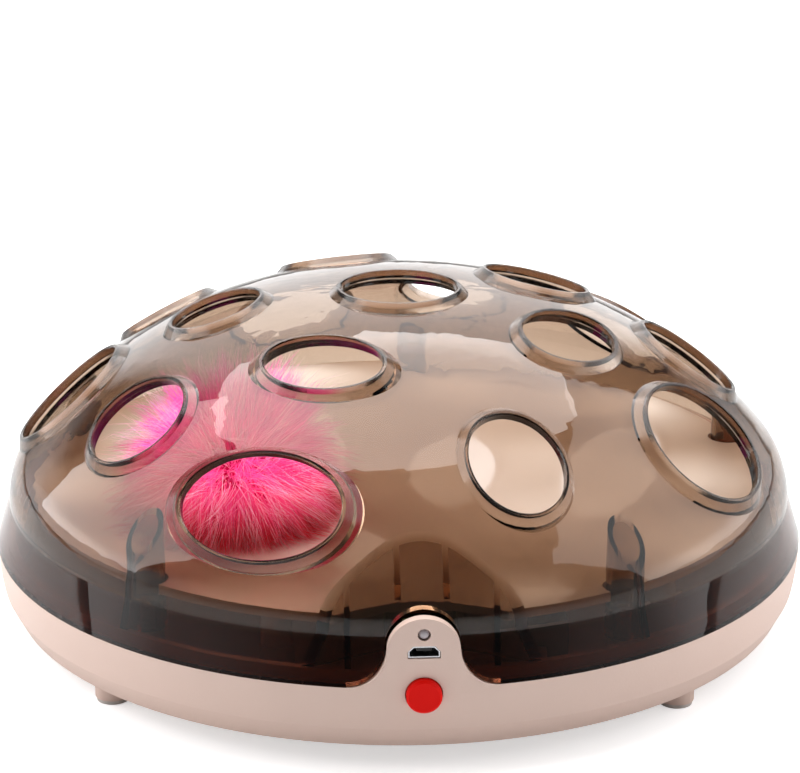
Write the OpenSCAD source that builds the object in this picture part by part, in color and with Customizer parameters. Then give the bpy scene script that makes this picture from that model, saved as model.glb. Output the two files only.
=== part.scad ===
// Automatic cat toy: smoke dome with paw holes over a deck on which a magnet drags a fur lure.
// Millimetres, +Z up, origin on the floor under the axis, the tab with the button faces -Y.

/* [Overall] */
// Radius of tray and dome where they meet
body_r = 120; // [112:1:130]
// Height of the feet under the tray
foot_h = 6; // [5:0.5:9]
// Height of the tray from its underside to the parting line
base_h = 18; // [17.5:0.5:22]
// Height of the dome's crown over the parting line
dome_h = 71.8; // [66:0.2:78]

/* [Dome] */
// Wall of the dome
wall = 2.5; // [2:0.1:3]
// Height of the sloped skirt
skirt_h = 12.6; // [11:0.2:14]
// How far the skirt leans in
skirt_in = 4; // [3:0.2:5]
// Radius of the shoulder between skirt and crown
shoulder_r = 22.5; // [20:0.5:26]
// Radius of the flat middle of the crown
cap_r = 15; // [12:1:18]
// Width of the flared lip round a paw hole
lip_w = 4.4; // [4:0.2:4.8]
// Height of the lip over the dome
lip_h = 2.2; // [1.8:0.2:2.6]
// Radius of the five locating bosses
boss_r = 5; // [4.5:0.5:6]

/* [Tray] */
// Wall of the tray
base_wall = 2.6; // [2.2:0.1:3]
// Floor of the tray
floor_t = 2.5; // [2:0.1:3]
// Radius of the tray's belly in section
belly_r = 63; // [50:1:80]
// Height of the bevel round the underside
edge_h = 6; // [4:0.5:8]
// Half width of the tab
tab_hw = 9.4; // [9:0.2:11]
// Height of the tab over the parting line
tab_h = 19.2; // [18.6:0.2:21]
// Radius of a foot
foot_r = 5; // [4:0.5:6]

/* [Deck and lure] */
// Height of the deck's top over the parting line
deck_rise = 15; // [14:0.5:17]
// Thickness of the deck
deck_t = 2.5; // [2:0.1:3]
// Radius of the lure's orbit
orbit_r = 60; // [54:1:62]
// Angle of the lure round the axis at rest
lure_az = -145; // [-180:1:180]
// Radius of the pompom
pom_r = 24; // [20:1:26]
// Radius of the puck
puck_r = 17; // [15:0.5:19]

/* [Drive] */
// Teeth of the rotor gear
gear_n = 48; // [48:12:48]
// Teeth of the motor pinion
pinion_n = 12; // [12:12:12]
// Module of the gears
gear_m = 1.25; // [1.2:0.05:1.3]
// Stroke of the push button
press = 0.8; // [0.5:0.1:0.9]

/* [Hidden] */
$fn = 96;
// Lip: depth of its edge, bevel, flat top, how far it sinks into the wall, where the wall ends under it
lip_edge = 2.4;
lip_round = 0.3;
lip_top = 1;
lip_sink = 1.2;
lip_cut = 1.9;
// Named clearances: running fit of a shaft, loose fit, fit of a bore on its own pin
run = 0.05;
loose = 0.3;
seat = 0.02;
// Heights over the floor
z_floor = foot_h + floor_t;
z_part = foot_h + base_h;
z_deck = z_part + deck_rise;
z_under = z_deck - deck_t;
// Unit by which the hole pattern follows the body's size
u = body_r / 120;
// Dome section: flat cap, one big arc, one shoulder arc, sloped skirt
sh_r = body_r - skirt_in;
c3r = sh_r - shoulder_r;
dxr = c3r - cap_r;
dzh = dome_h - skirt_h;
big_r = (dxr * dxr + dzh * dzh - shoulder_r * shoulder_r) / (2 * (dzh - shoulder_r));
c2z = dome_h - big_r;
t2 = atan2(dxr, skirt_h - c2z);
s_arc = cap_r + big_r * t2 * PI / 180;
// Paw holes: angle round the axis, way down the wall from the crown, half width, half height
holes = [
    [-92, 6, 17, 17],
    [-114, 58, 17, 11.6], [-35, 57, 16, 12.8], [22, 46, 15.5, 15.5], [107, 58, 16.5, 16.5],
        [183, 54, 13.5, 13.5],
    [-114, 108, 22.4, 15.4], [-73, 95, 12.8, 15.6], [-33, 105, 21.4, 19.2], [-3, 90, 16, 16],
    [40, 105, 19, 19], [75, 94, 15, 15], [109, 106, 18.5, 18.5], [147, 88, 14.5, 14.5],
    [180, 105, 18.7, 18.7], [-147, 93.5, 15, 15]];
// Five dome bosses, five deck screws, four feet
boss_at = body_r - 13;
boss_az = -131.5;
boss_gap = 1.5;
boss_play = 0.8;
boss_wall = 1.4;
collar_h = 3;
ledge_h = 4;
ledge_in = 6;
collar_in = 4;
pin_r = 2;
pin_h = 8;
pin_play = 0.1;
post_r = 4.2;
pillar_at = body_r - 27;
pillar_az = -113.5;
pillar_r = 4.6;
drive_r = 1.5;
sink_r = 3.4;
sink_h = 6;
head_r = 2.9;
head_h = 2.2;
z_meet = z_under - 14.5;
foot_at = body_r - 11;
foot_az = -139;
pad_t = 1.2;
pad_in = 0.4;
// Tab and what sits in it, heights over the parting line
fil_r = 10.2;
led_z = tab_h - 4.4;
led_r = 1.5;
usb_z = tab_h - 9.2;
button_z = -1.7;
button_r = 4.6;
flange_r = 6.2;
flange_t = 0.8;
in_y = body_r - base_wall;
flange_y = in_y - 1.2;
board_t = 1.6;
board_y = in_y - 5.4;
board_hw = 9.5;
board_rise = 3;
board_top = 5;
// Inner front wall of the dome and its ribs
wall_y = body_r - 17.7;
wall_t = 2;
wall_bow = 23.3;
wall_turn = 25.3;
wall_play = 2;
slot_y = body_r - 9.5;
rib_in = 6.2;
rib_out = 19;
rib_t = 1.6;
web_t = 2.4;
fuse = 0.8;
over_collar = 0.6;
deck_r = body_r - 11.6;
// Axle, rotor and gears
axle_r = 2;
seat_r = 6;
washer_t = 0.8;
washer_gap = 0.1;
hub_r = 9;
z_hub = z_floor + 12.4;
z_gear = z_hub + 1.1;
gear_t = 5;
z_arm = z_under - 5.5;
arm_t = 4;
centre_d = gear_m * (gear_n + pinion_n) / 2;
magnet_r = 6;
motor_r = 12;
motor_h = z_gear - 1 - z_floor;
ear_z = z_floor + 4.5;
ear_x = 16.5;
// Cell, strap and screws
cell_r = 7;
cell_l = 50;
cell_x = -8;
cell_y = 48 - body_r;
cell_z = z_floor + 0.5 + cell_r;
strap_x = 17;
strap_w = 10;
strap_e = 11.4;
strap_t = 1.6;
strap_boss = 2.5;
ear_t = 1.5;
plate_t = 2;
tap_r = 1.2;
tap_head_r = 2.4;
tap_head_h = 1.5;
tap_deep = 0.8;
stud_r = 3;
// Lure
felt_gap = 0.3;
felt_t = 0.8;
puck_z = z_deck + felt_gap + felt_t;
puck_h = 5.9;
pom_z = puck_z + puck_h + pom_r / 3;

// A point of the dome's outer section, s millimetres down the wall from the crown
function down(s) = s <= cap_r ? [s, dome_h]
    : s <= s_arc ? [cap_r + big_r * sin((s - cap_r) * 180 / PI / big_r),
        c2z + big_r * cos((s - cap_r) * 180 / PI / big_r)]
    : [c3r + shoulder_r * sin(t2 + (s - s_arc) * 180 / PI / shoulder_r),
        skirt_h + shoulder_r * cos(t2 + (s - s_arc) * 180 / PI / shoulder_r)];
function wallpt(s) = s < 0 ? [-down(-s)[0], down(-s)[1]] : down(s);

// Section of the solid dome, drawn in by o
module dome_section(o, low) {
    intersection() {
        union() {
            translate([cap_r, c2z]) circle(r = big_r - o, $fn = 360);
            square([cap_r, dome_h - o]);
        }
        polygon([[0, skirt_h], [c3r, skirt_h], [c3r + 60 * sin(t2), skirt_h + 60 * cos(t2)], [0, 300]]);
    }
    intersection() {
        translate([c3r, skirt_h]) circle(r = shoulder_r - o, $fn = 180);
        translate([c3r, skirt_h]) square([2 * shoulder_r, 2 * shoulder_r]);
    }
    polygon([[0, -low], [body_r - o, -low], [body_r - o, 0], [sh_r - o, skirt_h], [0, skirt_h]]);
}

module dome_solid(o, low = 0) {
    rotate_extrude($fn = 180) dome_section(o, low);
}

// Puts its children on the dome at a paw hole: x down the wall, y round it, z out
module at_hole(h) {
    p = wallpt(h[1] * u - h[3] * u);
    q = wallpt(h[1] * u + h[3] * u);
    m = (p + q) / 2;
    rotate([0, 0, h[0]]) translate([m[0], 0, m[1]]) rotate([0, atan2(p[1] - q[1], q[0] - p[0]), 0])
        children();
}

// Section of the lip outside the hole's edge at x = 0: thin edge, flat top, sloped outside, flared inside
module lip_section(w) {
    k = w / lip_w;
    polygon([[0, lip_h - lip_edge], [0, lip_h - lip_round], [lip_round * k, lip_h], [lip_top * k, lip_h],
        [w, -lip_sink], [(lip_cut + 0.8) * k, -lip_sink - 0.9], [lip_cut * k, -lip_sink - 0.5]]);
}

// Lip of a paw hole: a round ring, drawn in one way where the hole is oval
module hole_lip(h) {
    a = h[2] * u;
    b = h[3] * u;
    if (abs(a - b) < 0.05) rotate_extrude() translate([a, 0]) lip_section(lip_w);
    else if (a > b) scale([b / a, 1, 1]) rotate_extrude() translate([a, 0])
        lip_section(lip_w * sqrt(a / b));
    else scale([1, a / b, 1]) rotate_extrude() translate([b, 0]) lip_section(lip_w * sqrt(b / a));
}

// What a paw hole takes out of the wall, its edge hidden in the lip
module hole_cut(h) {
    a = h[2] * u + lip_cut;
    b = h[3] * u + lip_cut;
    translate([0, 0, -18])
        if (abs(a - b) < 0.05) cylinder(r = a, h = 36);
        else linear_extrude(height = 36) polygon([for (i = [0:35]) [b * cos(10 * i), a * sin(10 * i)]]);
}

// Front outline of the tab, g wider all round, from the parting line up
module bell(g) {
    translate([0, tab_h - tab_hw]) circle(r = tab_hw + g);
    difference() {
        translate([-tab_hw - fil_r, -2]) square([2 * tab_hw + 2 * fil_r, fil_r + 2]);
        for (k = [-1, 1]) translate([k * (tab_hw + fil_r), fil_r]) circle(r = fil_r - g);
    }
}

// Upright prism of a front outline, standing at the front from y = -near to y = -far
module front_prism(near, far) {
    translate([0, -near, 0]) rotate([90, 0, 0]) linear_extrude(height = far - near) children();
}

// Plan of the pocket behind the tab, g wider all round: a round apex and two straight sides
module pocket(g) {
    r = wall_bow + g;
    far = 60;
    translate([0, -wall_y - wall_bow]) {
        circle(r = r);
        polygon([for (k = [-1, 1], q = k < 0 ? [far, 0] : [0, far])
            [k * (r * sin(wall_turn) + q * cos(wall_turn)), r * cos(wall_turn) - q * sin(wall_turn)]]);
    }
}

module inner_front() {
    translate([0, 0, collar_h + over_collar]) linear_extrude(height = dome_h) difference() {
        pocket(wall_t);
        pocket(0);
    }
    intersection() {
        linear_extrude(height = dome_h) pocket(wall_t / 2);
        for (k = [-1, 1]) {
            translate([k * rib_in - rib_t / 2, -body_r, tab_h + rib_t]) cube([rib_t, body_r, dome_h]);
            translate([k * rib_out - rib_t / 2, -body_r, collar_h + over_collar])
                cube([rib_t, body_r, dome_h]);
        }
    }
}

module dome_cover() {
    color([0.30, 0.22, 0.19, 0.6]) translate([0, 0, z_part]) union() {
        difference() {
            union() {
                difference() {
                    dome_solid(0);
                    dome_solid(wall, 1);
                }
                intersection() {
                    union() {
                        inner_front();
                        for (i = [0:4]) rotate([0, 0, boss_az + 72 * i]) {
                            translate([boss_at, 0, boss_gap]) difference() {
                                cylinder(r = boss_r, h = dome_h);
                                translate([0, 0, pin_h]) cylinder(r = boss_r - boss_wall, h = dome_h);
                            }
                            translate([boss_at + boss_r - boss_wall / 2, -web_t / 2,
                                collar_h + over_collar]) cube([body_r - boss_at, web_t, dome_h]);
                        }
                    }
                    dome_solid(wall - fuse);
                }
            }
            for (h = holes) at_hole(h) hole_cut(h);
            front_prism(slot_y, body_r + 5) bell(loose + 0.1);
            for (i = [0:4]) rotate([0, 0, boss_az + 72 * i]) translate([boss_at, 0, 0])
                cylinder(r = pin_r + pin_play, h = pin_h + 2);
        }
        for (h = holes) at_hole(h) hole_lip(h);
    }
}

// Section of the tray's outside, drawn in by o, between heights lo and hi over the parting line
module tray_section(o, lo, hi) {
    intersection() {
        union() {
            translate([body_r - belly_r, 0]) circle(r = belly_r - o, $fn = 360);
            translate([0, o - belly_r]) square([body_r - belly_r, 2 * (belly_r - o)]);
        }
        translate([0, lo]) square([body_r + 5, hi - lo]);
    }
}

module usb_outline(g) {
    polygon([[-4 - g, -1.5 - g], [4 + g, -1.5 - g], [4 + g, 0.1], [2.7 + g / 2, 1.5 + g],
        [-2.7 - g / 2, 1.5 + g],
        [-4 - g, 0.1]]);
}

module base_tray() {
    edge_r = body_r - belly_r + sqrt(belly_r * belly_r - pow(base_h - edge_h, 2));
    color([0.90, 0.84, 0.79]) difference() {
        union() {
            translate([0, 0, z_part]) rotate_extrude($fn = 180) difference() {
                intersection() {
                    tray_section(0, -base_h, 0);
                    polygon([[0, -base_h], [edge_r - edge_h / 2, -base_h], [edge_r, edge_h - base_h],
                        [body_r + 5, edge_h - base_h],
                        [body_r + 5, 1], [0, 1]]);
                }
                tray_section(base_wall, floor_t - base_h, 1);
            }
            // ledge and low collar that centre the dome, open behind the tab
            translate([0, 0, z_part]) difference() {
                rotate_extrude($fn = 180) polygon([[body_r - ledge_in, -ledge_h],
                    [in_y + 0.4, -ledge_h], [in_y + 0.4, 0], [body_r - collar_in, 0],
                    [body_r - collar_in, collar_h], [body_r - ledge_in, collar_h]]);
                translate([-tab_hw - 3.6, -body_r - 1, -ledge_h - 1])
                    cube([2 * tab_hw + 7.2, 20, ledge_h + collar_h + 3]);
            }
            // tab
            translate([0, 0, z_part]) intersection() {
                difference() {
                    translate([0, 0, -2]) cylinder(r = body_r, h = tab_h + 4, $fn = 180);
                    translate([0, 0, -3]) cylinder(r = in_y, h = tab_h + 6, $fn = 180);
                }
                front_prism(body_r - 12, body_r + 2) bell(0);
            }
            // rails for the board
            for (k = [-1, 1]) translate([k * (board_hw + 1) - 2.5, -board_y - 2, z_floor - 0.5])
                cube([5, 5.6, z_part + 2 - z_floor]);
            // pillars under the dome's bosses, with their pins
            for (i = [0:4]) rotate([0, 0, boss_az + 72 * i]) translate([boss_at, 0, z_floor - 0.5]) {
                cylinder(r = post_r, h = z_part + boss_gap - 0.5 - z_floor);
                cylinder(r = pin_r, h = z_part + pin_h - z_floor);
            }
            for (i = [0:4]) rotate([0, 0, pillar_az + 72 * i]) translate([pillar_at, 0, z_floor - 0.5])
                cylinder(r = pillar_r, h = z_meet - z_floor + 0.5);
            for (i = [0:3]) rotate([0, 0, foot_az + 90 * i]) translate([foot_at, 0, pad_t])
                cylinder(r = foot_r, h = foot_h - pad_t + 1);
            // seat of the axle, motor and strap bosses, cradle of the cell
            translate([0, 0, z_floor - 0.5]) cylinder(r = seat_r,
                h = z_hub - washer_t - washer_gap - z_floor + 0.5);
            for (k = [-1, 1]) translate([k * ear_x, centre_d, z_floor - 0.5])
                cylinder(r = stud_r, h = ear_z - z_floor + 0.5);
            for (k = [-1, 1]) translate([strap_x, cell_y + k * strap_e, z_floor - 0.5])
                cylinder(r = stud_r, h = strap_boss + 0.5);
            difference() {
                for (x = [cell_x + 6, cell_x + cell_l - 10]) translate([x, cell_y - 10, z_floor - 0.5])
                    cube([4, 20, 8]);
                translate([cell_x - 1, cell_y, cell_z]) rotate([0, 90, 0])
                    cylinder(r = cell_r + run, h = cell_l + 2);
            }
        }
        // grooves of the rails
        translate([-board_hw - run, -board_y - run, z_floor])
            cube([2 * board_hw + 2 * run, board_t + 2 * run, 60]);
        // holes in the tab and the front wall
        translate([0, -in_y + 4, z_part + led_z]) rotate([90, 0, 0]) cylinder(r = led_r + 0.15, h = 20);
        translate([0, 0, z_part + usb_z]) front_prism(body_r - 8, body_r + 5) usb_outline(0.2);
        translate([0, -in_y + 4, z_part + button_z]) rotate([90, 0, 0])
            cylinder(r = button_r + 0.25, h = 20);
        // screw holes from below
        for (i = [0:4]) rotate([0, 0, pillar_az + 72 * i]) translate([pillar_at, 0, 0]) {
            cylinder(r = drive_r + 0.2, h = z_meet + 1);
            cylinder(r = sink_r, h = foot_h + sink_h);
        }
        translate([0, 0, z_floor + 1.5]) cylinder(r = axle_r + seat, h = 40);
        for (k = [-1, 1]) translate([k * ear_x, centre_d, z_floor - 1]) cylinder(r = tap_r + run, h = 10);
        for (k = [-1, 1]) translate([strap_x, cell_y + k * strap_e, z_floor - 1])
            cylinder(r = tap_r + run, h = 10);
    }
}

module foot_pads() {
    color([0.80, 0.77, 0.74]) for (i = [0:3]) rotate([0, 0, foot_az + 90 * i]) translate([foot_at, 0, 0])
        cylinder(r = foot_r - pad_in, h = pad_t);
}

module deck_plate() {
    color([0.93, 0.87, 0.80]) difference() {
        union() {
            translate([0, 0, z_under]) cylinder(r = deck_r, h = deck_t, $fn = 180);
            for (i = [0:4]) rotate([0, 0, pillar_az + 72 * i]) translate([pillar_at, 0, z_meet])
                cylinder(r = post_r, h = z_under - z_meet + 0.5);
        }
        for (i = [0:4]) rotate([0, 0, pillar_az + 72 * i]) translate([pillar_at, 0, z_meet - 1])
            cylinder(r = drive_r + run, h = z_under - z_meet - 1);
        for (i = [0:4]) rotate([0, 0, boss_az + 72 * i]) translate([boss_at, 0, z_under - 1])
            cylinder(r = boss_r + boss_play, h = deck_t + 2);
        translate([0, 0, z_under - 1]) linear_extrude(height = deck_t + 2) pocket(wall_t + wall_play);
    }
}

module deck_screws() {
    color([0.70, 0.70, 0.72]) for (i = [0:4]) rotate([0, 0, pillar_az + 72 * i])
        translate([pillar_at, 0, 0]) difference() {
        union() {
            translate([0, 0, foot_h + sink_h - head_h]) cylinder(r = head_r, h = head_h);
            translate([0, 0, foot_h + sink_h - 1]) cylinder(r = drive_r, h = z_under - 2 - foot_h - sink_h);
        }
        translate([-2, -0.35, foot_h + 3]) cube([4, 0.7, 1.6]);
        translate([-0.35, -2, foot_h + 3]) cube([0.7, 4, 1.6]);
    }
}

module power_button() {
    color([0.85, 0.09, 0.05]) translate([0, 0, z_part + button_z]) rotate([90, 0, 0]) rotate_extrude() {
        polygon([[0, flange_y - flange_t], [flange_r, flange_y - flange_t], [flange_r, flange_y],
            [button_r, flange_y],
            [button_r, body_r + 1.2], [button_r - 0.6, body_r + 1.8], [0, body_r + 1.8]]);
    }
}

module switch_plunger() {
    color([0.15, 0.15, 0.15]) translate([0, -board_y - 1.3, z_part + button_z]) rotate([90, 0, 0])
        cylinder(r = 1.7, h = flange_y - flange_t - board_y - 1.3);
}

module switch_body() {
    color([0.20, 0.20, 0.21]) difference() {
        translate([-3, -board_y - 2.2, z_part + button_z - 3]) cube([6, 2.2, 6]);
        translate([0, -board_y - 0.3, z_part + button_z]) rotate([90, 0, 0]) cylinder(r = 1.7 + run, h = 5);
    }
}

module led_lamp() {
    color([0.72, 0.70, 0.72]) translate([0, 0, z_part + led_z]) {
        translate([0, 3.2 - in_y, 0]) rotate([90, 0, 0]) cylinder(r = 1.9, h = 1);
        translate([0, 3 - in_y, 0]) rotate([90, 0, 0]) cylinder(r = led_r, h = base_wall + 1.6);
        translate([0, 1.4 - body_r, 0]) sphere(r = led_r);
    }
}

module led_legs() {
    color([0.75, 0.75, 0.77]) for (k = [-1, 1]) translate([k * 0.9, -board_y, z_part + led_z])
        rotate([90, 0, 0])
        cylinder(r = 0.25, h = in_y - 3.2 - board_y, $fn = 24);
}

module usb_shell() {
    color([0.62, 0.62, 0.64]) translate([0, 0, z_part + usb_z]) difference() {
        front_prism(board_y, body_r - 0.4) usb_outline(0);
        front_prism(board_y - 1, body_r) usb_outline(-0.3);
    }
}

module usb_tongue() {
    color([0.05, 0.05, 0.05]) translate([0, 0, z_part + usb_z]) {
        front_prism(board_y, board_y + 1.8) usb_outline(-0.3 - seat);
        translate([-1.9, -body_r + 1.4, -0.1]) cube([3.8, body_r - 1.4 - board_y - 1, 0.7]);
    }
}

module control_board() {
    top = led_z + 0.4;
    low = z_floor + 0.1 - z_part;
    color([0.10, 0.35, 0.20]) translate([0, 0, z_part]) front_prism(board_y - board_t, board_y)
        polygon([[-board_hw, low], [board_hw, low], [board_hw, board_rise],
            [board_top, board_rise + board_hw - board_top],
            [board_top, top], [-board_top, top], [-board_top, board_rise + board_hw - board_top],
                [-board_hw, board_rise]]);
}

module battery_cell() {
    color([0.20, 0.40, 0.65]) translate([cell_x, cell_y, cell_z]) rotate([0, 90, 0])
        cylinder(r = cell_r, h = cell_l);
}

module battery_strap() {
    ear = z_floor + strap_boss - cell_z;
    color([0.88, 0.82, 0.77]) translate([strap_x - strap_w / 2, cell_y, cell_z]) difference() {
        rotate([90, 0, 90]) linear_extrude(height = strap_w) difference() {
            union() {
                circle(r = cell_r + strap_t);
                translate([-cell_r - strap_t, ear]) square([2 * cell_r + 2 * strap_t, -ear]);
                translate([-strap_e - stud_r, ear]) square([2 * strap_e + 2 * stud_r, ear_t]);
            }
            circle(r = cell_r + 0.1);
            translate([-cell_r - 0.1, -2 * cell_r]) square([2 * cell_r + 0.2, 2 * cell_r]);
        }
        for (k = [-1, 1]) translate([strap_w / 2, k * strap_e, ear - 1]) cylinder(r = tap_r + 0.2, h = 4);
    }
}

module strap_screws() {
    color([0.70, 0.70, 0.72]) for (k = [-1, 1]) translate([strap_x, cell_y + k * strap_e, z_floor]) {
        translate([0, 0, -tap_deep]) cylinder(r = tap_r, h = tap_deep + strap_boss + ear_t + 0.2);
        translate([0, 0, strap_boss + ear_t]) cylinder(r = tap_head_r, h = tap_head_h);
    }
}

module drive_motor() {
    color([0.75, 0.76, 0.78]) difference() {
        union() {
            translate([0, centre_d, z_floor]) cylinder(r = motor_r, h = motor_h);
            translate([-ear_x - 3.5, centre_d - 4, ear_z]) cube([2 * ear_x + 7, 8, plate_t]);
        }
        translate([0, centre_d, z_floor + 3]) cylinder(r = 1 + run, h = 40);
        for (k = [-1, 1]) translate([k * ear_x, centre_d, ear_z - 1]) cylinder(r = tap_r + 0.2, h = 4);
    }
}

module motor_screws() {
    color([0.70, 0.70, 0.72]) for (k = [-1, 1]) translate([k * ear_x, centre_d, 0]) {
        translate([0, 0, z_floor - tap_deep]) cylinder(r = tap_r,
            h = tap_deep + ear_z + plate_t + 0.2 - z_floor);
        translate([0, 0, ear_z + plate_t]) cylinder(r = tap_head_r, h = tap_head_h);
    }
}

module motor_shaft() {
    color([0.75, 0.75, 0.77]) translate([0, centre_d, z_floor + 3.2])
        cylinder(r = 1, h = z_gear + gear_t + 0.6 - z_floor - 3.2);
}

// Spur gear outline: n teeth, module m, first tooth at angle p
function tooth(n, m, p, i) = let (r = n * m / 2, w = (PI * m / 2 - 0.4) / 2, a = p + 360 * i / n) [
    for (q = [[r - 1.15 * m, -w * 1.55], [r, -w], [r + 0.8 * m, -w * 0.45], [r + 0.8 * m, w * 0.45],
        [r, w], [r - 1.15 * m, w * 1.55]])
        [q[0] * cos(a) - q[1] * sin(a), q[0] * sin(a) + q[1] * cos(a)]];
module gear_outline(n, m, p) {
    polygon([for (i = [0:n - 1]) for (q = tooth(n, m, p, i)) q]);
}

module motor_pinion() {
    color([0.92, 0.92, 0.90]) translate([0, centre_d, z_gear]) difference() {
        linear_extrude(height = gear_t) gear_outline(pinion_n, gear_m, 270);
        translate([0, 0, -1]) cylinder(r = 1 + seat, h = gear_t + 2);
    }
}

module axle_pin() {
    color([0.72, 0.72, 0.74]) translate([0, 0, z_floor + 1.5])
        cylinder(r = axle_r, h = z_arm + 2 - z_floor - 1.5);
}

module axle_washer() {
    color([0.80, 0.66, 0.36]) translate([0, 0, z_hub - washer_t - washer_gap]) difference() {
        cylinder(r = seat_r, h = washer_t);
        translate([0, 0, -1]) cylinder(r = axle_r + seat, h = 3);
    }
}

module axle_clip() {
    color([0.55, 0.55, 0.57]) translate([0, 0, z_arm + 0.15]) difference() {
        cylinder(r = 4.4, h = 0.7);
        translate([0, 0, -1]) cylinder(r = axle_r + seat, h = 3);
        translate([0, -0.9, -1]) cube([6, 1.8, 3]);
    }
}

module rotor_gear() {
    color([0.90, 0.90, 0.87]) difference() {
        union() {
            translate([0, 0, z_gear]) linear_extrude(height = gear_t)
                gear_outline(gear_n, gear_m, 90 + 180 / gear_n);
            translate([0, 0, z_hub]) cylinder(r = hub_r, h = z_arm - z_hub);
        }
        translate([0, 0, z_hub - 1]) cylinder(r = axle_r + run + 1.5 + seat, h = 30);
        rotate([0, 0, lure_az]) for (k = [-1, 1]) translate([0, k * 7, z_arm - 7])
            cylinder(r = 0.9 + seat, h = 10);
        for (i = [0:5]) rotate([0, 0, 60 * i + 30])
            translate([gear_n * gear_m / 2 - 10.5, 0, z_gear - 1]) cylinder(r = 5, h = gear_t + 2);
    }
}

module rotor_bush() {
    color([0.80, 0.62, 0.28]) translate([0, 0, z_hub]) difference() {
        cylinder(r = axle_r + run + 1.5, h = z_arm - z_hub);
        translate([0, 0, -1]) cylinder(r = axle_r + run, h = 40);
    }
}

module rotor_arm() {
    color([0.35, 0.36, 0.38]) rotate([0, 0, lure_az]) translate([0, 0, z_arm]) difference() {
        union() {
            cylinder(r = 11, h = arm_t);
            translate([-32, -7, 0]) cube([32 + orbit_r, 14, arm_t]);
            translate([orbit_r, 0, 0]) cylinder(r = magnet_r + 2, h = arm_t);
            translate([-32, 0, 0]) cylinder(r = magnet_r + 2, h = arm_t);
        }
        translate([0, 0, -1]) cylinder(r = 5.4, h = 8);
        for (k = [-1, 1]) translate([0, k * 7, -1]) cylinder(r = 0.9 + run, h = 8);
        for (x = [-32, orbit_r]) translate([x, 0, 1]) cylinder(r = magnet_r + seat, h = 8);
    }
}

module rotor_screws() {
    color([0.70, 0.70, 0.72]) rotate([0, 0, lure_az]) for (k = [-1, 1]) translate([0, k * 7, z_arm]) {
        translate([0, 0, -6.5]) cylinder(r = 0.9, h = 6.5 + arm_t + 0.2);
        translate([0, 0, arm_t]) cylinder(r = 1.6, h = 0.8);
    }
}

module drive_magnet() {
    color([0.66, 0.67, 0.70]) rotate([0, 0, lure_az]) translate([orbit_r, 0, z_arm + 1])
        cylinder(r = magnet_r, h = arm_t - 1);
}

module counterweight() {
    color([0.60, 0.61, 0.63]) rotate([0, 0, lure_az]) translate([-32, 0, z_arm + 1])
        cylinder(r = magnet_r, h = arm_t - 1);
}

module lure_puck() {
    color([0.06, 0.06, 0.06]) rotate([0, 0, lure_az]) translate([orbit_r, 0, puck_z]) difference() {
        union() {
            rotate_extrude() polygon([[0, 0], [puck_r, 0], [puck_r, puck_h - 2], [puck_r - 2, puck_h],
                [0, puck_h]]);
            cylinder(r = 2.5, h = puck_h + 6);
        }
        translate([0, 0, -1]) cylinder(r = magnet_r + 1 + seat, h = 4.1);
    }
}

module lure_magnet() {
    color([0.66, 0.67, 0.70]) rotate([0, 0, lure_az]) translate([orbit_r, 0, puck_z])
        cylinder(r = magnet_r + 1, h = 3.1);
}

module lure_felt() {
    color([0.12, 0.12, 0.13]) rotate([0, 0, lure_az]) translate([orbit_r, 0, puck_z - felt_t])
        difference() {
        cylinder(r = puck_r - 1, h = felt_t);
        translate([0, 0, -1]) cylinder(r = magnet_r + 2, h = 4);
    }
}

module lure_pompom() {
    color([0.93, 0.20, 0.50]) rotate([0, 0, lure_az]) translate([orbit_r, 0, 0]) difference() {
        rotate_extrude() intersection() {
            translate([0, pom_z]) circle(r = pom_r);
            translate([0, puck_z + puck_h]) square([pom_r + 5, 2 * pom_r]);
        }
        translate([0, 0, puck_z + puck_h - 1]) cylinder(r = 2.5 + run, h = 7.2);
    }
}

dome_cover();
base_tray();
foot_pads();
deck_plate();
deck_screws();
power_button();
switch_plunger();
switch_body();
led_lamp();
led_legs();
usb_shell();
usb_tongue();
control_board();
battery_cell();
battery_strap();
strap_screws();
drive_motor();
motor_screws();
motor_shaft();
motor_pinion();
axle_pin();
axle_washer();
axle_clip();
rotor_gear();
rotor_bush();
rotor_arm();
rotor_screws();
drive_magnet();
counterweight();
lure_puck();
lure_magnet();
lure_felt();
lure_pompom();
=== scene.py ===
# %% [markdown]
# # A smoke dome with paw holes and a fur lure
# The toy is a flat see-through dome on a pale tray. A fur pompom goes round on the deck inside, and the
# cat fishes for it through lipped holes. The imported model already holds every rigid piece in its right
# place, so this lesson sets the camera, the light and the finishes, and grows the fur that solids can't show.

import bpy
import numpy as np
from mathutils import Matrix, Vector


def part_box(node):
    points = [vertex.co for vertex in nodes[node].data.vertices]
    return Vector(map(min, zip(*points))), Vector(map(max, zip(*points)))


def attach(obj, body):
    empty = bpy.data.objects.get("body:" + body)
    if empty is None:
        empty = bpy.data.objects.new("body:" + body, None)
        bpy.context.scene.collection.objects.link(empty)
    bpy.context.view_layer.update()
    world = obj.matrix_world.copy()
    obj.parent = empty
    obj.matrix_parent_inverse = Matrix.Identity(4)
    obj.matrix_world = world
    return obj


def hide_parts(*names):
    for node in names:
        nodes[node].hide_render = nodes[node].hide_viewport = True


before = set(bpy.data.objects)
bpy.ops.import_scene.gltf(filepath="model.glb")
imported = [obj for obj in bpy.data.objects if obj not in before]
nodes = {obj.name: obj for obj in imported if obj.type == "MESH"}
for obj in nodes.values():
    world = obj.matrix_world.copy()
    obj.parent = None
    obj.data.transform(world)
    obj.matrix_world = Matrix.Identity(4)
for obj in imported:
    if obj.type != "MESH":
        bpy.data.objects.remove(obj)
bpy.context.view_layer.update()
scene = bpy.context.scene
scene.view_settings.view_transform = "Standard"

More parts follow.
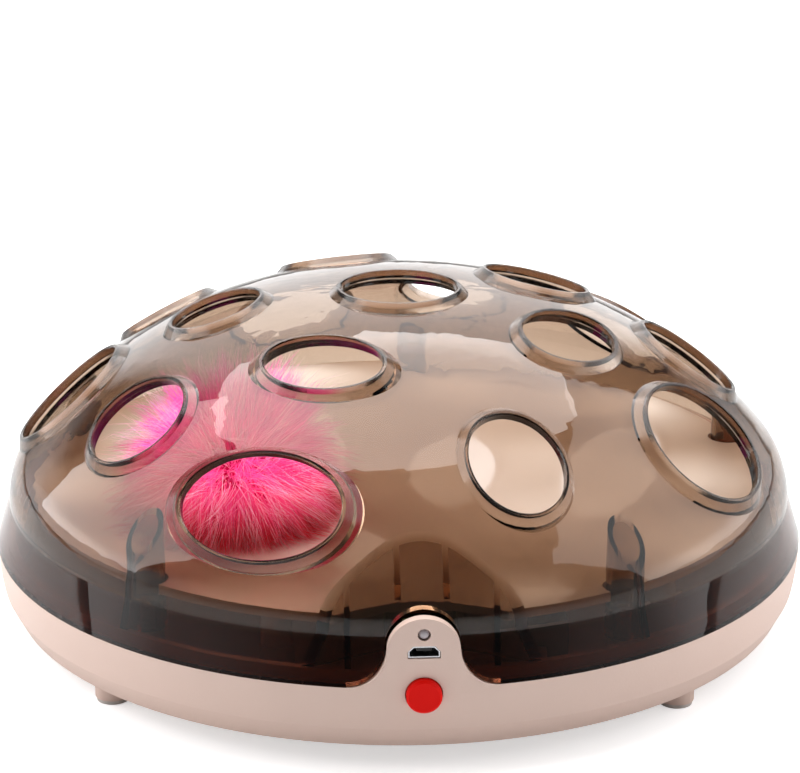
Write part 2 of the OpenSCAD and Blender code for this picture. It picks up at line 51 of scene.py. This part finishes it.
# %% [markdown]
# ## Camera
# The photograph looks down on the toy from the front, a little left of the tab. A long lens from far off
# keeps the ellipses flat. Eye point, direction and focal length come from matching the round parting line,
# the deck's edge and the hole rims, so the lens needs no shift.

# %% Camera
MM = 0.001
EYE = Vector((-33.88, -628.52, 272.14)) * MM
LOOK = Vector((0.0518, 0.94849, -0.31255))
camera = bpy.data.objects.new("photo_camera", bpy.data.cameras.new("photo_camera"))
scene.collection.objects.link(camera)
camera.data.sensor_width = 36.0
camera.data.lens = 99.97
camera.location = EYE
camera.rotation_euler = LOOK.to_track_quat("-Z", "Y").to_euler()
scene.camera = camera
print("camera at", [round(v, 3) for v in EYE], "lens", camera.data.lens)

# %% [markdown]
# ## Small helpers
# Every new surface is a set of points worked out by numpy, so one helper turns points and faces into a mesh.
# The others build node trees. They take sockets or plain values alike, and most hand back the socket that
# carries their result, so that a chain of nodes reads like a formula.


# %% Helper for meshes
def put_mesh(name, points, faces):
    """A smooth mesh object from (n, 3) points and an (m, k) array of corner numbers, k being 3 or 4."""
    me = bpy.data.meshes.new(name)
    n, k = faces.shape
    me.vertices.add(len(points))
    me.vertices.foreach_set("co", np.ascontiguousarray(points, dtype=np.float32).ravel())
    me.loops.add(n * k)
    me.loops.foreach_set("vertex_index", np.ascontiguousarray(faces, dtype=np.int32).ravel())
    me.polygons.add(n)
    me.polygons.foreach_set("loop_start", np.arange(n, dtype=np.int32) * k)
    me.polygons.foreach_set("use_smooth", np.ones(n, dtype=bool))
    me.update(calc_edges=True)
    me.validate()
    ob = bpy.data.objects.new(name, me)
    scene.collection.objects.link(ob)
    return ob


print("mesh helper ready")


# %% Helpers for node trees
def add(tree, kind, **settings):
    """A new shader node; settings are its own properties, such as operation or data_type."""
    node = tree.nodes.new("ShaderNode" + kind)
    for key, value in settings.items():
        setattr(node, key, value)
    return node


def feed(tree, socket, value):
    """Links the socket to value where that is a socket too, and sets a plain value otherwise."""
    if isinstance(value, bpy.types.NodeSocket):
        tree.links.new(value, socket)
    else:
        socket.default_value = value


def maths(tree, kind, *values, clamp=False):
    """One Math node of the values."""
    node = add(tree, "Math", operation=kind, use_clamp=clamp)
    for socket, value in zip(node.inputs, values):
        feed(tree, socket, value)
    return node.outputs[0]


def vector_length(tree, vector):
    """How long a vector is."""
    node = add(tree, "VectorMath", operation="LENGTH")
    feed(tree, node.inputs[0], vector)
    return node.outputs["Value"]


def split(tree, vector):
    """The x, y and z of a vector."""
    node = add(tree, "SeparateXYZ")
    feed(tree, node.inputs["Vector"], vector)
    return node.outputs["X"], node.outputs["Y"], node.outputs["Z"]


def ramp(tree, value, start, stop, low=0.0, high=1.0, kind="SMOOTHSTEP"):
    """Goes from low where value is start to high where it is stop, as a smooth step or a straight line."""
    node = add(tree, "MapRange", interpolation_type=kind)
    keys = ("Value", "From Min", "From Max", "To Min", "To Max")
    for key, number in zip(keys, (value, start, stop, low, high)):
        feed(tree, node.inputs[key], number)
    return node.outputs["Result"]


def blend(tree, factor, first, second):
    """Goes from the first colour to the second with factor."""
    node = add(tree, "Mix", data_type="RGBA")
    for key, value in zip(("Factor", "A", "B"), (factor, first, second)):
        feed(tree, node.inputs[key], value)
    return node.outputs["Result"]


def noise(tree, where, scale, detail=2.0):
    """A noise between 0 and 1, scale being its waves per metre."""
    node = add(tree, "TexNoise")
    for key, value in zip(("Vector", "Scale", "Detail"), (where, scale, detail)):
        feed(tree, node.inputs[key], value)
    return node.outputs["Fac"]


def bump(tree, shader, height, distance):
    """Tilts the shader's normal as a relief of distance metres would."""
    node = add(tree, "Bump")
    feed(tree, node.inputs["Height"], height)
    feed(tree, node.inputs["Distance"], distance)
    feed(tree, shader.inputs["Normal"], node.outputs["Normal"])


def either(tree, factor, first, second):
    """A Mix Shader: the first where factor is 0 and the second where it is 1."""
    node = add(tree, "MixShader")
    for socket, value in zip(node.inputs, (factor, first, second)):
        feed(tree, socket, value)
    return node.outputs[0]


def new_material(name, **values):
    """A material with one Principled shader; values are plain numbers or colours for its sockets."""
    mat = bpy.data.materials.new(name)
    mat.use_nodes = True
    shader = mat.node_tree.nodes["Principled BSDF"]
    for key, value in values.items():
        shader.inputs[key.replace("_", " ")].default_value = value
    return mat, mat.node_tree, shader


def dress(mat, *names):
    """Gives CAD nodes a material in place of the plain one that they came with."""
    for name in names:
        nodes[name].data.materials.clear()
        nodes[name].data.materials.append(mat)


print("node helpers ready")

# %% [markdown]
# ## Floor
# A product shot on white: the floor has to look white, yet keep the soft shadow under the tray. So it is a
# plain matt white that also glows a little, for the camera alone. The glow grows with distance, where the
# lamps no longer reach. In the dome's reflections the floor is a shade darker.

# %% Floor
FLOOR_EDGE = 3.0
FLOOR_WHITE = (0.86, 0.86, 0.87, 1)
FLOOR_MIRRORED = (0.70, 0.70, 0.70, 1)
GLOW_RADII = (0.25, 0.90)
GLOW = (0.55, 1.0)


def floor_material():
    """Matt white plus a glow for camera rays that runs from GLOW[0] to GLOW[1] between the two radii."""
    mat, tree, shader = new_material("floor_white", Roughness=0.9)
    rays = add(tree, "LightPath").outputs
    # a ray sent on through the dome counts as glossy too, so those are taken off
    mirrored = maths(tree, "SUBTRACT", rays["Is Glossy Ray"], rays["Is Transmission Ray"], clamp=True)
    feed(tree, shader.inputs["Base Color"], blend(tree, mirrored, FLOOR_WHITE, FLOOR_MIRRORED))
    out_by = vector_length(tree, add(tree, "TexCoord").outputs["Object"])
    lift = ramp(tree, out_by, *GLOW_RADII, *GLOW, kind="LINEAR")
    glow = add(tree, "Emission")
    feed(tree, glow.inputs["Color"], (1, 1, 1, 1))
    feed(tree, glow.inputs["Strength"], maths(tree, "MULTIPLY", rays["Is Camera Ray"], lift))
    both = add(tree, "AddShader")
    feed(tree, both.inputs[0], shader.outputs[0])
    feed(tree, both.inputs[1], glow.outputs[0])
    feed(tree, tree.nodes["Material Output"].inputs["Surface"], both.outputs[0])
    return mat


corners = FLOOR_EDGE * np.array([[-1, -1, 0], [1, -1, 0], [1, 1, 0], [-1, 1, 0]])
floor = put_mesh("floor", corners, np.array([[0, 1, 2, 3]]))
floor.data.materials.append(floor_material())
print("floor", 2 * FLOOR_EDGE, "m wide")

# %% [markdown]
# ## White room
# The camera sees plain white all round, straight or through the dome. A polished dome shows what it
# mirrors, so reflections see a room of their own: dim overall, bright low down at both sides, and one white
# card behind. Everything else is lit by a faint fill, with a dark gap in front, where the camera stands.

# %% White room
# where each step starts and ends, in x, y or z of the unit direction that a ray goes in
BACK_Y = (-0.16, 0.0)
FILL_X = (0.36, 0.52)
SIDE_X = (0.20, 0.95)
SIDE_Y = (-0.45, 0.10)
SIDE_Z = (0.10, 0.38)
CARD_X = (0.36, 0.50)
CARD_Z = (0.64, 0.78)
# strengths: pairs go from dim to bright
FILL = (0.03, 0.40)
SIDES = (0.06, 1.8)
SIDE_IN_FRONT = 0.36
CARD = 2.0


def white_room():
    """The world, with S a smooth step of the direction's |x|, y or z.

    Mirrored is the larger of the sides, 0.06 + 1.74 S(S(|x|) S(y) S(-z)), and the card, 2 S(-|x|) S(y) S(-z).
    """
    room = bpy.data.worlds.new("white_room")
    room.use_nodes = True
    tree = room.node_tree
    x, y, z = split(tree, add(tree, "TexCoord").outputs["Generated"])
    wide = maths(tree, "ABSOLUTE", x)
    behind = ramp(tree, y, *BACK_Y)
    flank = maths(tree, "MULTIPLY", ramp(tree, wide, *SIDE_X), ramp(tree, y, *SIDE_Y, SIDE_IN_FRONT, 1.0))
    low_flank = maths(tree, "MULTIPLY", flank, ramp(tree, z, *SIDE_Z, 1.0, 0.0))
    sides = ramp(tree, low_flank, 0.0, 1.0, *SIDES)
    narrow = maths(tree, "MULTIPLY", ramp(tree, wide, *CARD_X, CARD, 0.0), behind)
    card = maths(tree, "MULTIPLY", narrow, ramp(tree, z, *CARD_Z, 1.0, 0.0))
    around = maths(tree, "MAXIMUM", ramp(tree, wide, *FILL_X), behind)

    seen = tree.nodes["Background"]
    mirror = add(tree, "Background")
    fill = add(tree, "Background")
    light = (
        (seen, (1, 1, 1, 1), 1.0),
        (mirror, (1.0, 0.99, 0.99, 1), maths(tree, "MAXIMUM", sides, card)),
        (fill, (1.0, 0.99, 0.98, 1), ramp(tree, around, 0.0, 1.0, *FILL)),
    )
    for node, colour, strength in light:
        feed(tree, node.inputs["Color"], colour)
        feed(tree, node.inputs["Strength"], strength)

    rays = add(tree, "LightPath").outputs
    straight = maths(tree, "MAXIMUM", rays["Is Camera Ray"], rays["Is Transmission Ray"])
    straight = maths(tree, "MULTIPLY", straight, maths(tree, "LESS_THAN", rays["Diffuse Depth"], 0.5))
    unseen = either(tree, rays["Is Glossy Ray"], fill.outputs[0], mirror.outputs[0])
    shown = either(tree, straight, unseen, seen.outputs[0])
    feed(tree, tree.nodes["World Output"].inputs["Surface"], shown)
    return room


scene.world = white_room()
print("white room ready")

# %% [markdown]
# ## Soft boxes
# A big round box hangs over the back and lies on the crown as a broad pale reflection. Two square ones stand
# at the sides and draw the bright patches on the dome's shoulders.

# %% Soft boxes
# name, shape, place, aim and size in metres, power in watts
BOXES = (
    ("box_over", "ELLIPSE", (0.0, 0.33, 0.88), (0, 0.1, 0.0), (1.1, 0.96), 11.5),
    ("box_left", "RECTANGLE", (-0.91, 0.16, 0.60), (0, 0, 0.03), (1.0, 1.0), 11.0),
    ("box_right", "RECTANGLE", (0.93, 0.08, 0.58), (0, 0, 0.03), (1.3, 1.05), 8.0),
)
for name, shape, place, aim, size, power in BOXES:
    lamp = bpy.data.lights.new(name, "AREA")
    lamp.shape = shape
    lamp.size, lamp.size_y = size
    lamp.energy = power
    box = bpy.data.objects.new(name, lamp)
    scene.collection.objects.link(box)
    box.location = place
    box.rotation_euler = (Vector(aim) - Vector(place)).to_track_quat("-Z", "Y").to_euler()

# %% [markdown]
# ## Moulded plastic
# The tray, deck, button and inner parts are moulded. A mould leaves a fine grain, a slow drift of tone and
# patches that are a touch glossier. One node group makes all three from noise on object coordinates, and
# each material feeds it its own colour and strengths.

# %% Node group: moulded surface
DRIFT_SCALE = 14.0
DRIFT_DETAIL = 3.0
DRIFT_SPAN = (0.3, 0.7)


def moulded_group():
    """Inputs Vector, Color, Drift, Grain Size, Roughness, Gloss Patches; outputs Color, Roughness, Height.

    With s a slow noise drawn out to -1 ... 1: colour times 1 + Drift s, and Roughness + Gloss Patches s.
    """
    g = bpy.data.node_groups.new("moulded", "ShaderNodeTree")
    kinds = {"Vector": "NodeSocketVector", "Color": "NodeSocketColor"}
    ends = {
        "INPUT": ("Vector", "Color", "Drift", "Grain Size", "Roughness", "Gloss Patches"),
        "OUTPUT": ("Color", "Roughness", "Height"),
    }
    for side, names in ends.items():
        for name in names:
            g.interface.new_socket(name, in_out=side, socket_type=kinds.get(name, "NodeSocketFloat"))
    given = g.nodes.new("NodeGroupInput").outputs
    made = g.nodes.new("NodeGroupOutput").inputs
    slow = noise(g, given["Vector"], DRIFT_SCALE, DRIFT_DETAIL)
    swing = ramp(g, slow, *DRIFT_SPAN, -1.0, 1.0, kind="LINEAR")
    tone = add(g, "HueSaturation")
    feed(g, tone.inputs["Value"], maths(g, "MULTIPLY_ADD", swing, given["Drift"], 1.0))
    feed(g, tone.inputs["Color"], given["Color"])
    feed(g, made["Color"], tone.outputs["Color"])
    feed(g, made["Roughness"], maths(g, "MULTIPLY_ADD", swing, given["Gloss Patches"], given["Roughness"]))
    feed(g, made["Height"], noise(g, given["Vector"], given["Grain Size"]))
    return g


MOULDED = moulded_group()


def moulded(name, colour, rough, drift=0.04, grain=900.0, depth=0.00002, patches=0.05, **values):
    """A moulded plastic: colour and roughness through the group, its grain as a bump depth metres high."""
    mat, tree, shader = new_material(name, **values)
    g = add(tree, "Group", node_tree=MOULDED)
    feed(tree, g.inputs["Vector"], add(tree, "TexCoord").outputs["Object"])
    feed(tree, g.inputs["Color"], (*colour, 1))
    feed(tree, g.inputs["Drift"], drift)
    feed(tree, g.inputs["Grain Size"], grain)
    feed(tree, g.inputs["Roughness"], rough)
    feed(tree, g.inputs["Gloss Patches"], patches)
    feed(tree, shader.inputs["Base Color"], g.outputs["Color"])
    feed(tree, shader.inputs["Roughness"], g.outputs["Roughness"])
    bump(tree, shader, g.outputs["Height"], depth)
    return mat


tray_mat = moulded("tray_cream", (0.70, 0.52, 0.445), 0.36, drift=0.03, grain=1400, depth=0.00003)
deck_mat = moulded("deck_cream", (0.84, 0.72, 0.62), 0.07, drift=0.03, grain=60, depth=0.000004, patches=0.03)
dress(tray_mat, "base_tray", "battery_strap")
dress(deck_mat, "deck_plate")
print("tray and deck dressed")

# %% [markdown]
# ## Smoke dome
# The dome is polished clear plastic with brown in it: the longer the way through, the darker it gets. That is
# absorption inside a glass-like shader. Lamps have to reach the deck through it, so shadow rays see a plain
# tinted film instead. The skirt that goes down round the tray is painted darker, as painted shade for the
# unlit space round and below the deck that shows through it, and the lips of the holes are satin and pale.
# A very slow wave keeps the reflections from looking drawn with a ruler.

# %% Smoke dome
SMOKE_DENSITY = 304.0
SMOKE_SPARED = (0.424, 0.207, 0.0, 1)
SHADOW_FILM = (0.35, 0.26, 0.185, 1)
WALL_TINT = (0.64, 0.55, 0.47, 1)
# painted shade: the skirt's darker colour stands for the unlit space round and below the deck behind it; the
# heights and radii below bound where it is painted
SKIRT_PAINTED_SHADE = (0.37, 0.165, 0.118, 1)
SKIRT_SHADE_HEIGHTS = (0.0350, 0.0372)
SKIRT_SHADE_RADII = (0.1135, 0.1120)
LIP_TINT = (0.80, 0.74, 0.69, 1)
LIP_PROUD = (0.0001, 0.0007)
LIP_ROUGH = 0.16
LIP_HAZE = 0.08
HAZE_SCALE = 220.0
WAVE_SCALE = 20.0
WAVE_HEIGHT = 0.00006
# the wall is an arc turned round the axis: the arc's centre stands ARC_OUT from the axis and below the floor
ARC_OUT = 0.015
WALL_ARC = 0.1248
WALL_ARC_BELOW = 0.029


def clear_plastic(name, density, spared, film, ior=1.46):
    """Glass-like plastic that takes up light: density per metre, spared is what is left of each colour.

    Returns the material, its tree and its shader. Shadow rays see film in place of the glass.
    """
    plain = {"Base_Color": (1, 1, 1, 1), "Roughness": 0.0, "IOR": ior, "Transmission_Weight": 1.0}
    mat, tree, shader = new_material(name, **plain)
    body = add(tree, "VolumeAbsorption")
    feed(tree, body.inputs["Color"], spared)
    feed(tree, body.inputs["Density"], density)
    clear = add(tree, "BsdfTransparent")
    feed(tree, clear.inputs["Color"], film)
    shadow = add(tree, "LightPath").outputs["Is Shadow Ray"]
    out = tree.nodes["Material Output"].inputs
    feed(tree, out["Surface"], either(tree, shadow, shader.outputs[0], clear.outputs[0]))
    feed(tree, out["Volume"], body.outputs[0])
    return mat, tree, shader


def smoke_material():
    """The dome's plastic: wall, skirt darkened with painted shade, and satin lips.

    With r the distance from the axis, a point stands sqrt(max(r - ARC_OUT, 0)^2 + (z + WALL_ARC_BELOW)^2)
    - WALL_ARC outside the wall's arc, and only the lips stand proud of it.
    """
    mat, tree, shader = clear_plastic("smoke_clear", SMOKE_DENSITY, SMOKE_SPARED, SHADOW_FILM)
    where = add(tree, "TexCoord").outputs["Object"]
    z = split(tree, where)[2]
    flat = add(tree, "VectorMath", operation="MULTIPLY")
    feed(tree, flat.inputs[0], where)
    feed(tree, flat.inputs[1], (1, 1, 0))
    r = vector_length(tree, flat.outputs["Vector"])
    # painted shade: low on the skirt and out at its rim, the colour goes over to the darker skirt colour
    off_painted_shade = maths(tree, "MAXIMUM", ramp(tree, z, *SKIRT_SHADE_HEIGHTS), ramp(tree, r, *SKIRT_SHADE_RADII))
    wall = blend(tree, off_painted_shade, SKIRT_PAINTED_SHADE, WALL_TINT)

    out_by = maths(tree, "MAXIMUM", maths(tree, "SUBTRACT", r, ARC_OUT), 0.0)
    up_by = maths(tree, "ADD", z, WALL_ARC_BELOW)
    squares = [maths(tree, "MULTIPLY", side, side) for side in (out_by, up_by)]
    proud = maths(tree, "SUBTRACT", maths(tree, "SQRT", maths(tree, "ADD", *squares)), WALL_ARC)
    lip = ramp(tree, proud, *LIP_PROUD)
    feed(tree, shader.inputs["Base Color"], blend(tree, lip, wall, LIP_TINT))
    haze = maths(tree, "MULTIPLY", noise(tree, where, HAZE_SCALE), LIP_HAZE)
    feed(tree, shader.inputs["Roughness"], maths(tree, "MULTIPLY", lip, maths(tree, "ADD", haze, LIP_ROUGH)))
    bump(tree, shader, noise(tree, where, WAVE_SCALE, 0.0), WAVE_HEIGHT)
    return mat


dress(smoke_material(), "dome_cover")
even = nodes["dome_cover"].modifiers.new("even_normals", "WEIGHTED_NORMAL")
even.keep_sharp = True
print("dome dressed")

# %% [markdown]
# ## Small moulded pieces
# The red button is satin, the lamp's lens is milky, and the charging socket has a black tongue. Feet are pale
# rubber. The drive under the deck shows only when the dome is off, and has its own plain colours.

# %% Small moulded pieces
BUTTON_RED = (0.74, 0.003, 0.0005)
button_mat = moulded("button_red", BUTTON_RED, 0.45, drift=0.03, depth=0.000004, Specular_IOR_Level=0.1)
lens_mat = moulded("lens_milky", (0.42, 0.38, 0.40), 0.12, drift=0.06, depth=0.000002, Coat_Weight=0.6)
black_mat = moulded("black_moulded", (0.012, 0.012, 0.013), 0.45, drift=0.1)
felt_mat = moulded("felt_black", (0.02, 0.02, 0.021), 0.95, drift=0.2, grain=1800, depth=0.0001)
dress(button_mat, "power_button")
dress(lens_mat, "led_lamp")
dress(black_mat, "usb_tongue", "switch_body", "switch_plunger", "lure_puck")
dress(moulded("foot_rubber", (0.60, 0.55, 0.52), 0.75, drift=0.05, grain=700), "foot_pads")
dress(moulded("gear_nylon", (0.80, 0.80, 0.76), 0.45, drift=0.03), "rotor_gear", "motor_pinion")
dress(moulded("arm_grey", (0.09, 0.095, 0.10), 0.5, drift=0.06), "rotor_arm")
dress(moulded("board_mask", (0.02, 0.16, 0.07), 0.35, drift=0.06), "control_board")
dress(moulded("cell_wrap", (0.10, 0.11, 0.12), 0.35, drift=0.04), "battery_cell")
dress(felt_mat, "lure_felt")
print("small moulded pieces dressed")

# %% [markdown]
# ## Metals
# Screws, shafts, the socket's shell, magnets and bushes are bare metal. A fine noise moves their roughness up
# and down, as tool marks do.

# %% Metals
METAL_GRAIN = 2500.0
METAL_SWING = 0.08


def bare_metal(name, colour, rough):
    """Bare metal whose roughness goes METAL_SWING up and down from rough."""
    mat, tree, shader = new_material(name, Base_Color=(*colour, 1), Metallic=1.0)
    grain = noise(tree, add(tree, "TexCoord").outputs["Object"], METAL_GRAIN)
    worn = ramp(tree, grain, 0.0, 1.0, rough - METAL_SWING, rough + METAL_SWING, kind="LINEAR")
    feed(tree, shader.inputs["Roughness"], worn)
    return mat


steel_mat = bare_metal("steel_turned", (0.62, 0.62, 0.64), 0.30)
dress(steel_mat, "deck_screws", "strap_screws", "motor_screws", "rotor_screws", "motor_shaft", "axle_pin")
dress(steel_mat, "axle_clip", "led_legs", "usb_shell", "drive_motor", "counterweight")
dress(bare_metal("nickel_plate", (0.70, 0.69, 0.66), 0.16), "drive_magnet", "lure_magnet")
dress(bare_metal("brass_turned", (0.75, 0.55, 0.22), 0.28), "rotor_bush", "axle_washer")
print("metals dressed")

# %% [markdown]
# ## Fur lure
# The pompom is long soft fur, hot pink, with pale guard hairs that stand out beyond the rest. It looks redder
# and darker underneath, where it lies in shade, and that shade is painted into the hair's colour. Hairs hang
# together in locks. A lock has a direction on a sphere, a length, a bend and a droop, and its hairs draw
# together towards its tip. Each hair is one thin tapered tube of three sides, and numpy works out all hairs
# of a layer at once.

# %% Where the lure sits
low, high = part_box("lure_puck")
LURE = np.array([(low[0] + high[0]) / 2, (low[1] + high[1]) / 2, low[2]])
HEART = LURE + np.array([0, 0, 0.0095])
BALL = np.array([0.0195, 0.0195, 0.0165])
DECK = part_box("deck_plate")[1][2]
print("fur grows round", HEART.round(4), "over a deck at", round(float(DECK), 4))

# %% Fur maker
# share of the ball at which hairs start, and how far above the deck the lowest of them lie
ROOT = 0.9
ABOVE_DECK = 0.0004
ABOVE_DECK_MORE = 0.0012
# hairs stay inside this arc, a little under the dome's wall
HAIR_ARC = 0.1213
HAIR_ARC_BELOW = 0.030
SIDES_OF_HAIR = 3


def directions(n, rng, lowest):
    """n unit vectors spread evenly over a sphere down to height lowest (golden-angle spiral and a jitter)."""
    k = (np.arange(n) + 0.5) / n
    z = 1 - k * (1 - lowest)
    turn = np.arange(n) * np.pi * (3 - np.sqrt(5))
    flat = np.sqrt(1 - z * z)
    d = np.stack([flat * np.cos(turn), flat * np.sin(turn), z], 1) + rng.normal(0, 0.09, (n, 3))
    return d / np.linalg.norm(d, axis=1, keepdims=True)


def lock_lines(locks, each, rng, length, bend, droop, lowest, spread, rings):
    """Middle lines of hairs that hang together in locks, as an array locks x each x rings x 3.

    Lock: heart + ball d + d L t + side bend L t^2 - up droop L t^1.6. A hair starts beside its lock's line
    and ends a third as far from it. No hair goes under the deck or through the dome.
    """
    d = directions(locks, rng, lowest)
    side = np.cross(d, rng.normal(0, 1, (locks, 3)))
    side /= np.linalg.norm(side, axis=1, keepdims=True)
    up = np.maximum(d[:, 2], 0)
    grow = length * rng.uniform(0.70, 1.00, locks) * (0.80 + 0.25 * up)
    sag = droop * rng.uniform(0.6, 1.4, locks) * np.sqrt(1 - d[:, 2] ** 2) * (1 - up)
    bow = bend * rng.normal(0, 1, locks)
    t = np.linspace(0, 1, rings) * rng.uniform(0.78, 1.00, (locks, each, 1))
    go = grow[:, None, None, None] * t[..., None]
    line = (HEART + BALL * ROOT * d)[:, None, None, :] + d[:, None, None, :] * go
    line = line + (side * bow[:, None])[:, None, None, :] * go * t[..., None]
    line[..., 2] -= sag[:, None, None] * grow[:, None, None] * t**1.6
    start = rng.normal(0, spread, (locks, each, 1, 3))
    line = line + start * (1 - 0.66 * t[..., None])
    lie = DECK + ABOVE_DECK + ABOVE_DECK_MORE * rng.random((locks, each, 1))
    line[..., 2] = np.maximum(line[..., 2], lie)
    far = np.maximum(np.hypot(line[..., 0], line[..., 1]) - ARC_OUT, 0)
    line[..., 2] = np.minimum(line[..., 2], np.sqrt(HAIR_ARC**2 - far**2) - HAIR_ARC_BELOW)
    return line, d, side


def fur(name, locks, each, seed, length, width, bend, droop, lowest, spread, rings=6):
    """Three-sided tapered tubes along the lock lines, radius w (1 - 0.96 t)^0.7 / 2.

    The map's u is a number of the hair's own, mostly shared by its lock, and v runs from root to tip.
    """
    rng = np.random.default_rng(seed)
    line, d, side = lock_lines(locks, each, rng, length, bend, droop, lowest, spread, rings)
    n = locks * each
    line = line.reshape(n, rings, 3)
    t = np.linspace(0, 1, rings)
    across = np.cross(d, side)
    turn = (np.arange(SIDES_OF_HAIR) * 2 * np.pi / SIDES_OF_HAIR)[None, :, None]
    spin = np.cos(turn) * side[:, None, :] + np.sin(turn) * across[:, None, :]
    spin = np.repeat(spin, each, axis=0)
    thick = width / 2 * rng.uniform(0.7, 1.3, n)[:, None] * (1 - 0.96 * t[None, :]) ** 0.7
    pts = line[:, :, None, :] + spin[:, None, :, :] * thick[:, :, None, None]
    ring = np.arange(n)[:, None, None] * rings * SIDES_OF_HAIR
    ring = ring + np.arange(rings - 1)[None, :, None] * SIDES_OF_HAIR
    c = np.arange(SIDES_OF_HAIR)[None, None, :]
    e = (c + 1) % SIDES_OF_HAIR
    above = ring + SIDES_OF_HAIR
    quads = np.stack([ring + c, ring + e, above + e, above + c], -1).reshape(-1, 4)
    ob = put_mesh(name, pts.reshape(-1, 3), quads)

    own = 0.75 * np.repeat(rng.random(locks), each) + 0.25 * rng.random(n)
    u, v = np.broadcast_arrays(own[:, None, None], np.repeat(t[:, None], SIDES_OF_HAIR, axis=1)[None])
    uv = np.stack([u, v], -1).reshape(-1, 2)
    corner = np.empty(len(ob.data.loops), dtype=np.int32)
    ob.data.loops.foreach_get("vertex_index", corner)
    layer = ob.data.uv_layers.new(name="hair")
    layer.data.foreach_set("uv", uv[corner].astype(np.float32).ravel())
    print(name, n, "hairs,", len(ob.data.polygons) * 2, "triangles")
    return ob


print("fur maker ready")

# %% [markdown]
# ## Dyed hair and painted shade
# Colour runs from root to tip, every lock has its own depth of tone, and towards the deck the colour goes
# over to a darker red, which is painted shade for the lower side of the ball.
# Light that wanders about between real hairs is stood in for by a soft glow, which fades towards the deck.

# %% Fur material
UNDERSIDE_SHADE_HEIGHTS = (0.003, 0.028)
GLOW_FADE = (0.002, 0.016)
GLOW_LEAST = 0.10
TONE_SPAN = (0.55, 1.25)


def above_deck(pair):
    """A pair of heights above the deck as heights in the scene."""
    return [float(DECK + height) for height in pair]


def fur_material(name, root, tip, under, glow):
    """Dyed hair: root to tip along v, each hair's tone by u, under as painted shade on the lower side, glow
    its own light.
    """
    mat, tree, shader = new_material(name, Roughness=0.5, Emission_Strength=glow)
    where = add(tree, "TexCoord").outputs
    u, v, _ = split(tree, where["UV"])
    z = split(tree, where["Object"])[2]
    hair = blend(tree, v, (*root, 1), (*tip, 1))
    # painted shade: towards the deck the hair goes over to the under colour, for the shade under the ball
    hair_and_under_shade = blend(tree, ramp(tree, z, *above_deck(UNDERSIDE_SHADE_HEIGHTS), kind="LINEAR"), (*under, 1), hair)
    tone = add(tree, "HueSaturation")
    feed(tree, tone.inputs["Value"], ramp(tree, u, 0.0, 1.0, *TONE_SPAN, kind="LINEAR"))
    feed(tree, tone.inputs["Color"], hair_and_under_shade)
    feed(tree, shader.inputs["Base Color"], tone.outputs["Color"])
    dim = add(tree, "VectorMath", operation="SCALE")
    feed(tree, dim.inputs[0], tone.outputs["Color"])
    feed(tree, dim.inputs["Scale"], ramp(tree, z, *above_deck(GLOW_FADE), GLOW_LEAST, 1.0, kind="LINEAR"))
    feed(tree, shader.inputs["Emission Color"], dim.outputs["Vector"])
    return mat


# the third colour of each is painted shade, a darker and redder lower side
pink_mat = fur_material("fur_pink", (1.0, 0.06, 0.42), (1.0, 0.22, 0.68), (0.80, 0.03, 0.055), 0.50)
pale_mat = fur_material("fur_pale", (1.0, 0.30, 0.66), (1.0, 0.80, 0.92), (1.0, 0.40, 0.46), 0.60)
print("hair dyed")

# %% [markdown]
# ## Fur layers
# Four layers, from short and dense to long and sparse. Each is a piece of its own that rides on the lure.

# %% Fur layers
# locks, hairs in each, seed, length, width, bend, droop, lowest direction, spread of a lock's roots, material
LAYERS = {
    "lure_fur_under": (620, 10, 11, 0.014, 0.00026, 0.10, 0.35, -0.62, 0.0016, pink_mat),
    "lure_fur_mid": (520, 11, 12, 0.021, 0.00020, 0.14, 0.75, -0.50, 0.0016, pink_mat),
    "lure_fur_long": (420, 11, 13, 0.027, 0.00017, 0.18, 0.75, -0.40, 0.0016, pink_mat),
    "lure_fur_guard": (620, 5, 14, 0.029, 0.00015, 0.22, 0.45, -0.35, 0.0022, pale_mat),
}
for name, (*shape, mat) in LAYERS.items():
    ob = fur(name, *shape)
    ob.data.materials.append(mat)
    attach(ob, "lure")

# %% [markdown]
# ## Woolly core
# A dark red ball under the hair keeps light from shining through. It takes the place of the CAD pompom.

# %% Woolly core
CORE_FOOT = 0.0062


def core(name, rows=40, cols=64):
    """A flattened ball over height angle a and turn b, cut level CORE_FOOT above the puck's foot.

    Radius 1 + 0.05 sin(9b + 4a) sin(a) + 0.04 sin(13a + 5b) sin(a), times the ball's half axes.
    """
    a = np.linspace(0, np.pi, rows)[:, None]
    b = np.linspace(0, 2 * np.pi, cols, endpoint=False)[None, :]
    r = 1 + 0.05 * np.sin(9 * b + 4 * a) * np.sin(a) + 0.04 * np.sin(13 * a + 5 * b) * np.sin(a)
    p = np.stack([r * np.sin(a) * np.cos(b), r * np.sin(a) * np.sin(b), r * np.cos(a)], -1) * BALL
    p[..., 2] = np.maximum(p[..., 2], LURE[2] - HEART[2] + CORE_FOOT)
    i = np.arange(rows - 1)[:, None]
    j = np.arange(cols)[None, :]
    k = (j + 1) % cols
    quads = np.stack([i * cols + j, (i + 1) * cols + j, (i + 1) * cols + k, i * cols + k], -1).reshape(-1, 4)
    return put_mesh(name, (p + HEART).reshape(-1, 3), quads)


wool = core("lure_fur_core")
wool.data.materials.append(moulded("fur_wool", (0.62, 0.01, 0.12), 0.9, drift=0.25, grain=900, depth=0.0008))
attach(wool, "lure")
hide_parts("lure_pompom")
print("fur lure ready")
